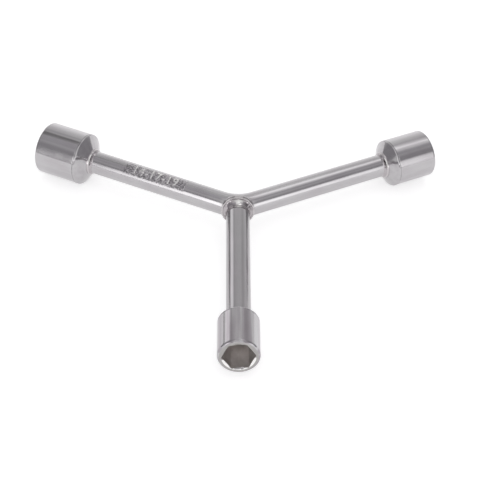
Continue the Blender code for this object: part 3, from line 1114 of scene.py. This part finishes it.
def collar_outline(sizes):
    """Round the collar from its toe on the front bar, over the lip and groove, to its back."""
    bore = sizes.bar_diameter / 2 + SEAT_CLEARANCE
    rim = sizes.collar_diameter / 2
    back, face, toe = sizes.collar_heights
    middle = (back + face) / 2
    toe_top = (bore + TOE_THICKNESS, toe)
    lip_inside = (rim - COLLAR_LIP, face)
    face_groove = (lip_inside[0] - COLLAR_FACE_GROOVE_WIDTH / 2, face - COLLAR_FACE_GROOVE_DEPTH)
    hollow_end = (lip_inside[0] - COLLAR_FACE_GROOVE_WIDTH, face)
    lip_front = (rim, middle + COLLAR_GROOVE_WIDTH / 2)
    bottom = (rim - COLLAR_GROOVE_DEPTH, middle)
    lip_back = (rim, middle - COLLAR_GROOVE_WIDTH / 2)
    front_corner, back_corner = (rim, face), (rim, back)

    outline = points([(bore, toe)])
    # Shade painted at the collar's toe
    outline += points([toe_top], ROUND, 0.0, GROOVE_PAINTED_SHADE)
    outline += points(bulge(toe_top, hollow_end, COLLAR_HOLLOW, HOLLOW_STEPS)[1:])
    # Shade painted into the groove bottom and the face groove; the worn lips also get painted
    # highlights from the bead plating
    for before, corner, after, edge, worn, soot in (
        (hollow_end, face_groove, lip_inside, FACE_GROOVE_EDGE, 0.0, FACE_GROOVE_PAINTED_SHADE),
        (face_groove, lip_inside, front_corner, LIP_INNER_EDGE, COLLAR_WEAR_AND_HIGHLIGHT, 0.0),
        (lip_inside, front_corner, lip_front, LIP_OUTER_EDGE, COLLAR_WEAR_AND_HIGHLIGHT, 0.0),
        (front_corner, lip_front, bottom, GROOVE_EDGE, COLLAR_WEAR_AND_HIGHLIGHT, 0.0),
        (lip_front, bottom, lip_back, GROOVE_BOTTOM, 0.0, GROOVE_PAINTED_SHADE),
        (bottom, lip_back, back_corner, GROOVE_EDGE, COLLAR_WEAR_AND_HIGHLIGHT, 0.0),
        (lip_back, back_corner, (bore, back), COLLAR_BACK_EDGE, COLLAR_BACK_WEAR_AND_HIGHLIGHT, 0.0),
    ):
        outline += points(rounded(before, corner, after, *edge), RIM, worn, soot)
    start = rim - COLLAR_EDGE
    inner = [(start - (start - bore) * share, back) for share in COLLAR_BACK_SHARES]
    return outline + points(inner, SADDLE)


def paint_collar_light_and_shade(shape, sizes):
    """Paints a highlight on the top of the cove, carried as wear, and paints shade on the collar's
    upper right side.
    """
    role = shape.verts.layers.int["role"]
    worn = shape.verts.layers.float["edge_wear_and_highlight"]
    soot = shape.verts.layers.float["painted_crevice_shade"]
    face = sizes.collar_heights[1]
    for vert in shape.verts:
        if vert.co.z < face - COLLAR_FACE_GROOVE_DEPTH * 2:
            continue
        direction = math.atan2(vert.co.y, vert.co.x)
        # A highlight painted on the top of the cove
        if vert[role] == ROUND:
            off_top = abs(direction - HIGHLIGHT_ANGLE) / HIGHLIGHT_HALF_WIDTH
            vert[worn] = max(vert[worn], 1.0 - off_top)
        # Shade painted on the collar's upper right side
        off_side_shade = abs(direction - SIDE_SHADE_ANGLE) / SIDE_SHADE_HALF_WIDTH
        stain = min(1.0, max(0.0, SIDE_SHADE_EDGE * (1.0 - off_side_shade)))
        vert[soot] = max(vert[soot], stain * SIDE_SHADE_STRENGTH)


def seat_collar(shape, sizes):
    """Shapes the collar's back to the side bar, and squeezes the lip where the bar is close."""
    role = shape.verts.layers.int["role"]
    back, face, _ = sizes.collar_heights
    thinnest = COLLAR_EDGE / 3
    for vert in shape.verts:
        lowest = max(back, saddle_height(sizes, vert.co.x, vert.co.y, -COLLAR_SINK))
        if vert[role] == SADDLE:
            vert.co.z = lowest
        elif vert[role] == RIM:
            lowest = min(lowest, face - thinnest)
            vert.co.z = face - (face - vert.co.z) * (face - lowest) / (face - back)


def ripple(shape, height, scale, seed, keep_inside):
    """Moves the outer skin in and out a little, as a weld bead's surface runs."""
    for vert in shape.verts:
        reach = vert.co.xy.length
        if reach > keep_inside:
            x, y, z = vert.co
            spot = Vector((x, y, z * RIPPLE_STRETCH)) * scale + Vector((seed, seed, seed))
            move_out(vert, reach + noise.noise(spot) * height)


class WRENCH_OT_hub_weld(bpy.types.Operator):
    """Turn the grooved weld collar at the joint of the bars"""

    bl_idname = "wrench.hub_weld"
    bl_label = "Hub Weld"

    def execute(self, context):
        sizes = context.scene.wrench_sizes
        seed = context.scene.wrench_finish.noise_seed
        shape = turned(collar_outline(sizes), closed=True)
        paint_collar_light_and_shade(shape, sizes)
        ripple(shape, *COLLAR_RIPPLE, seed, sizes.bar_diameter / 2 + TOE_THICKNESS * 2)
        seat_collar(shape, sizes)
        bmesh.ops.recalc_face_normals(shape, faces=shape.faces)
        store_places(shape)
        finish_piece(
            "hub_collar_bead", shape, arm_of(FRONT).frame, [weld_chrome()], WELD_SLOT,
            "hub_weld_collar",
        )
        return {"FINISHED"}


def neck_outline(sizes):
    """A small bead on the bar, a notch, and the lip that runs up to the socket's back."""
    bar = sizes.bar_diameter / 2
    inner = bar - SEAT_CLEARANCE
    start = (bar + NECK_NOTCH_RISE / 2, NECK_BEAD_START)
    end = (bar + NECK_NOTCH_RISE, NECK_BEAD_END)
    notch = (bar + NECK_NOTCH_RISE, NECK_NOTCH)
    lip = (bar + NECK_LIP_RISE, NECK_LIP)
    top = (bar + NECK_TOP_RISE, NECK_TOP)
    bead_rise = NECK_BEAD_HEIGHT / (NECK_BEAD_END - NECK_BEAD_START)
    outline = points([(inner, NECK_BEAD_START)])
    # Shade painted at the bead's toe and into the notch
    outline += points([start], ROUND, 0.0, BEAD_PAINTED_SHADE)
    outline += points(bulge(start, end, -bead_rise, BEAD_STEPS)[1:-1], BEAD)
    outline += points([end, notch], BEAD, 0.0, 1.0)
    outline += points(rounded(notch, lip, top, *NECK_LIP_EDGE), RIM, LIP_WEAR_AND_HIGHLIGHT)
    outline += points([top, (bar + NECK_TOP_RISE, 0.0), (inner, 0.0)])
    return outline


def close_notch(shape, sizes, side):
    """Keeps the notch open high on the front side, with shade painted into it and a highlight
    painted on its lip, and closes it with a fillet elsewhere.
    """
    role = shape.verts.layers.int["role"]
    worn = shape.verts.layers.float["edge_wear_and_highlight"]
    soot = shape.verts.layers.float["painted_crevice_shade"]
    for vert in shape.verts:
        direction = math.atan2(vert.co.y, side * vert.co.x)
        off = abs(direction - NOTCH_ANGLE) / NOTCH_HALF_WIDTH
        left_open = min(1.0, max(0.0, (1.0 - off) / NOTCH_END_SHARE))
        # Shade in the notch and a highlight on its lip are painted only where the notch stays open,
        # high on the front side
        vert[soot] *= left_open
        if vert[role] == RIM:
            vert[worn] += (1.0 - LIP_WEAR_AND_HIGHLIGHT) * left_open
        elif vert[role] == BEAD:
            climb = (vert.co.z - NECK_BEAD_START) / (NECK_LIP - NECK_BEAD_START)
            fillet = sizes.bar_diameter / 2 + NECK_LIP_RISE * climb**2
            reach = vert.co.xy.length
            move_out(vert, reach + (fillet - reach) * (1.0 - left_open))


class WRENCH_OT_neck_welds(bpy.types.Operator):
    """Turn the small weld rings between the bars and the sockets"""

    bl_idname = "wrench.neck_welds"
    bl_label = "Neck Welds"

    def execute(self, context):
        sizes = context.scene.wrench_sizes
        for index in (LEFT, RIGHT, FRONT):
            arm = arm_of(index)
            seed = context.scene.wrench_finish.noise_seed + index
            shape = turned(neck_outline(sizes), closed=True, steps=NECK_TURN_STEPS)
            close_notch(shape, sizes, -1.0 if index == RIGHT else 1.0)
            ripple(shape, *NECK_RIPPLE, seed, sizes.bar_diameter / 2 + SEAT_CLEARANCE)
            store_places(shape)
            back = arm.frame @ Matrix.Translation((0.0, 0.0, arm.shank))
            finish_piece(
                arm.name + "_neck_bead", shape, back, [weld_chrome()], WELD_SLOT,
                arm.name + "_neck_weld",
            )
        return {"FINISHED"}


# ---- marking


def flat_numbers(context, text):
    """The numbers as a flat relief, sliced across so that it can be laid round the bar."""
    letters = bpy.data.curves.new("size_numbers_text", "FONT")
    letters.body = text
    for name, value in TEXT_SETTINGS.items():
        setattr(letters, name, value)
    guide = bpy.data.objects.new("size_numbers_text", letters)
    context.scene.collection.objects.link(guide)
    context.view_layer.update()
    seen = guide.evaluated_get(context.evaluated_depsgraph_get())
    flat = bpy.data.meshes.new_from_object(seen)
    bpy.data.objects.remove(guide)
    shape = bmesh.new()
    shape.from_mesh(flat)
    bpy.data.meshes.remove(flat)
    if not shape.faces:
        raise RuntimeError("the size numbers came out empty")
    bmesh.ops.remove_doubles(shape, verts=shape.verts, dist=TEXT_MERGE_DISTANCE)
    slices = int(NUMBER_HEIGHT / SLICE_WIDTH)
    for step in range(-slices, slices + 1):
        bmesh.ops.bisect_plane(
            shape, geom=[*shape.verts, *shape.edges, *shape.faces],
            plane_co=(0.0, step * SLICE_WIDTH / 2, 0.0), plane_no=(0.0, 1.0, 0.0),
        )
    return shape


class WRENCH_OT_size_numbers(bpy.types.Operator):
    """Stamp the sizes of the three hexagons in raised numbers on the left arm"""

    bl_idname = "wrench.size_numbers"
    bl_label = "Size Numbers"

    def execute(self, context):
        sizes = context.scene.wrench_sizes
        shape = flat_numbers(context, sizes.marking_text)
        radius = sizes.bar_diameter / 2
        lift = (NUMBER_RELIEF - NUMBER_SINK) / 2
        for vert in shape.verts:
            along, across, height = vert.co
            direction = sizes.marking_angle + across / radius
            reach = radius + lift + height
            vert.co.x = reach * math.cos(direction)
            vert.co.y = reach * math.sin(direction)
            vert.co.z = sizes.marking_place[0] - along
        bmesh.ops.recalc_face_normals(shape, faces=shape.faces)
        store_places(shape)
        finish_piece(
            "size_numbers", shape, arm_of(LEFT).frame, [plated("number_chrome")], CHROME_SLOT
        )
        return {"FINISHED"}


# ---- stage


def toward(azimuth, elevation):
    """The direction with that azimuth, round from +Y to +X, and that elevation, in radians."""
    level = math.cos(elevation)
    return Vector((math.sin(azimuth) * level, math.cos(azimuth) * level, math.sin(elevation)))


def make_floor(stage):
    """A pale floor that shows white to the eye and in the metal, and keeps the shadow."""
    shape = bmesh.new()
    bmesh.ops.create_grid(shape, x_segments=1, y_segments=1, size=FLOOR_WIDTH / 2)
    mesh = bpy.data.meshes.new("floor")
    shape.to_mesh(mesh)
    shape.free()
    floor = bpy.data.objects.new("floor", mesh)
    bpy.context.scene.collection.objects.link(floor)
    floor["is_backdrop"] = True

    material = bpy.data.materials.new("pale_floor")
    material.use_nodes = True
    mesh.materials.append(material)
    tree = material.node_tree
    tree.nodes.clear()
    place = add_node(tree, "TexCoord", "place on the floor").outputs["Object"]
    inputs = {"Vector": place, "Scale": PAPER_GRAIN}
    grain = add_node(tree, "TexNoise", "paper grain", inputs).outputs["Fac"]
    shade = [part * PAPER_SHADE for part in stage.floor_colour]
    tint = mixed(tree, "paper tint", grain, (*stage.floor_colour, 1.0), (*shade, 1.0))
    paper = add_node(tree, "BsdfDiffuse", "paper", {"Color": tint})
    ray = add_node(tree, "LightPath", "who looks").outputs
    seen = math_node(tree, "MAXIMUM", "eye or metal", ray["Is Camera Ray"], ray["Is Glossy Ray"])
    seen = math_node(tree, "MAXIMUM", "or glass", seen, ray["Is Transmission Ray"])
    level = math_node(tree, "MULTIPLY", "glow", seen, stage.floor_glow)
    glow = add_node(tree, "Emission", "white of the background", {"Strength": level})
    both = {0: paper.outputs[0], 1: glow.outputs[0]}
    surface = add_node(tree, "AddShader", "paper and glow", both).outputs[0]
    add_node(tree, "OutputMaterial", "floor", {"Surface": surface})


def soft_card_group():
    """How far a direction points at a card, from 0 to 1, and how high on it, from -1 to 1."""
    group, given, result = new_group(
        "soft_card",
        {
            "Vector": ("Direction", "Middle", "Across", "Upward"),
            "Float": ("Half Width", "Half Height", "Softness"),
        },
        {"Float": ("Mask", "Share Up")},
    )

    def along(name):
        inputs = {0: given["Direction"], 1: given[name]}
        dot = add_node(group, "VectorMath", "along " + name, inputs, operation="DOT_PRODUCT")
        return dot.outputs["Value"]

    across = math_node(group, "DIVIDE", "share across", along("Across"), given["Half Width"])
    upward = math_node(group, "DIVIDE", "share up", along("Upward"), given["Half Height"])
    off_across = math_node(group, "ABSOLUTE", "off across", across)
    off_up = math_node(group, "ABSOLUTE", "off up", upward)
    off = math_node(group, "MAXIMUM", "off the middle", off_across, off_up)
    outside = math_node(group, "ADD", "outside", given["Softness"], 1.0)
    inside = math_node(group, "SUBTRACT", "inside", 1.0, given["Softness"])
    edge = mapped(
        group, "soft edge", off, inside, outside, 1.0, 0.0, interpolation_type="SMOOTHSTEP"
    )
    facing = math_node(group, "GREATER_THAN", "on this side", along("Middle"), 0.0)
    mask = math_node(group, "MULTIPLY", "mask", edge, facing)
    fill(group, result, {"Mask": mask, "Share Up": upward})
    return group


def make_room(stage):
    """A plain grey room with a pale wall behind the wrench and soft pale cards round it."""
    world = bpy.data.worlds.new("plain_room")
    bpy.context.scene.world = world
    world.use_nodes = True
    tree = world.node_tree
    direction = add_node(tree, "TexCoord", "direction").outputs["Generated"]
    height = separated(tree, "height", direction)["Z"]
    stops = [(place, [level * part for part in ROOM_TINT]) for place, level in ROOM_STOPS]
    light = ramp(tree, "room by height", height, stops)
    card_group = soft_card_group()
    for name, (*angles, softness, low, high) in ROOM_CARDS.items():
        azimuth, elevation, half_width, half_height = map(math.radians, angles)
        middle = toward(azimuth, elevation)
        across = middle.cross(UP).normalized()
        inputs = {
            "Direction": direction,
            "Middle": middle,
            "Across": across,
            "Upward": across.cross(middle),
            "Half Width": math.sin(half_width),
            "Half Height": math.sin(half_height),
            "Softness": softness,
        }
        card = add_node(tree, "Group", name, inputs, node_tree=card_group).outputs
        level = mapped(tree, name + " brightness", card["Share Up"], -1.0, 1.0, low, high)
        light = mixed(tree, name + " in the room", card["Mask"], light, level)
    fill(tree, tree.nodes["Background"], {"Color": light, "Strength": stage.room_level})


def make_lamp():
    """A soft box high behind the wrench, to the right."""
    azimuth, elevation, distance = LAMP_PLACE
    width, height = LAMP_SIZE
    light = bpy.data.lights.new("high_box", "AREA")
    light.shape = "RECTANGLE"
    light.size, light.size_y = width, height
    light.energy = LAMP_BRIGHTNESS * math.pi * width * height
    box = bpy.data.objects.new("high_box", light)
    way = toward(azimuth, elevation)
    box.location = crossing_point() + way * distance
    box.rotation_mode = "QUATERNION"
    box.rotation_quaternion = way.to_track_quat("Z", "Y")
    box.visible_camera = False
    bpy.context.scene.collection.objects.link(box)


def make_camera(stage):
    """The camera, placed so that the crossing point of the bars falls on its pixel."""
    azimuth, elevation, roll = stage.camera_azimuth, stage.camera_elevation, stage.camera_roll
    forward = toward(-azimuth, -elevation)
    right = forward.cross(UP).normalized()
    down = forward.cross(right)
    leaned_right = math.cos(roll) * right + math.sin(roll) * down
    leaned_down = math.cos(roll) * down - math.sin(roll) * right
    pixels = stage.focal_length / SENSOR_WIDTH * VIEW_PIXELS
    across, below = (
        (pixel - VIEW_PIXELS / 2) / pixels * stage.camera_distance
        for pixel in stage.crossing_pixel
    )
    to_crossing = leaned_right * across + leaned_down * below + forward * stage.camera_distance
    lens = bpy.data.cameras.new("camera")
    lens.lens = stage.focal_length
    lens.sensor_width = SENSOR_WIDTH
    lens.clip_start = NEAR_LIMIT
    camera = bpy.data.objects.new("camera", lens)
    turn = Matrix((leaned_right, -leaned_down, -forward)).transposed().to_4x4()
    camera.matrix_world = Matrix.Translation(crossing_point() - to_crossing) @ turn
    bpy.context.scene.collection.objects.link(camera)
    bpy.context.scene.camera = camera


class WRENCH_OT_stage(bpy.types.Operator):
    """Lay the floor and set up the room, the soft box and the camera"""

    bl_idname = "wrench.stage"
    bl_label = "Stage"

    def execute(self, context):
        stage = context.scene.wrench_stage
        make_floor(stage)
        make_room(stage)
        make_lamp()
        make_camera(stage)
        context.scene.view_settings.view_transform = "Standard"
        return {"FINISHED"}


# ---- add-on


OPERATORS = (
    WRENCH_OT_side_bar,
    WRENCH_OT_front_bar,
    WRENCH_OT_sockets,
    WRENCH_OT_hub_weld,
    WRENCH_OT_neck_welds,
    WRENCH_OT_size_numbers,
    WRENCH_OT_stage,
)


class WRENCH_PT_panel(bpy.types.Panel):
    """Lists the wrench's sizes, finishes and pieces"""

    bl_idname = "WRENCH_PT_panel"
    bl_label = "Y Wrench"
    bl_space_type = "VIEW_3D"
    bl_region_type = "UI"
    bl_category = "Y Wrench"

    def draw(self, context):
        scene = context.scene
        for group in (scene.wrench_sizes, scene.wrench_finish, scene.wrench_stage):
            box = self.layout.box()
            for name in type(group).__annotations__:
                box.prop(group, name)
        for operator in OPERATORS:
            self.layout.operator(operator.bl_idname)


GROUPS = {
    "wrench_sizes": WrenchSizes,
    "wrench_finish": WrenchFinish,
    "wrench_stage": WrenchStage,
}
CLASSES = (*GROUPS.values(), *OPERATORS, WRENCH_PT_panel)


def register():
    for cls in CLASSES:
        bpy.utils.register_class(cls)
    for name, group in GROUPS.items():
        setattr(bpy.types.Scene, name, PointerProperty(type=group))


def unregister():
    for name in GROUPS:
        delattr(bpy.types.Scene, name)
    for cls in reversed(CLASSES):
        bpy.utils.unregister_class(cls)


def main():
    register()
    bpy.ops.wrench.side_bar()
    bpy.ops.wrench.front_bar()
    bpy.ops.wrench.sockets()
    bpy.ops.wrench.hub_weld()
    bpy.ops.wrench.neck_welds()
    bpy.ops.wrench.size_numbers()
    bpy.ops.wrench.stage()
    boxes = {"cad": CAD_BOX, "visual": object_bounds()}
    rows = {name: [list(corner) for corner in box] for name, box in boxes.items()}


if __name__ == "__main__":
    main()
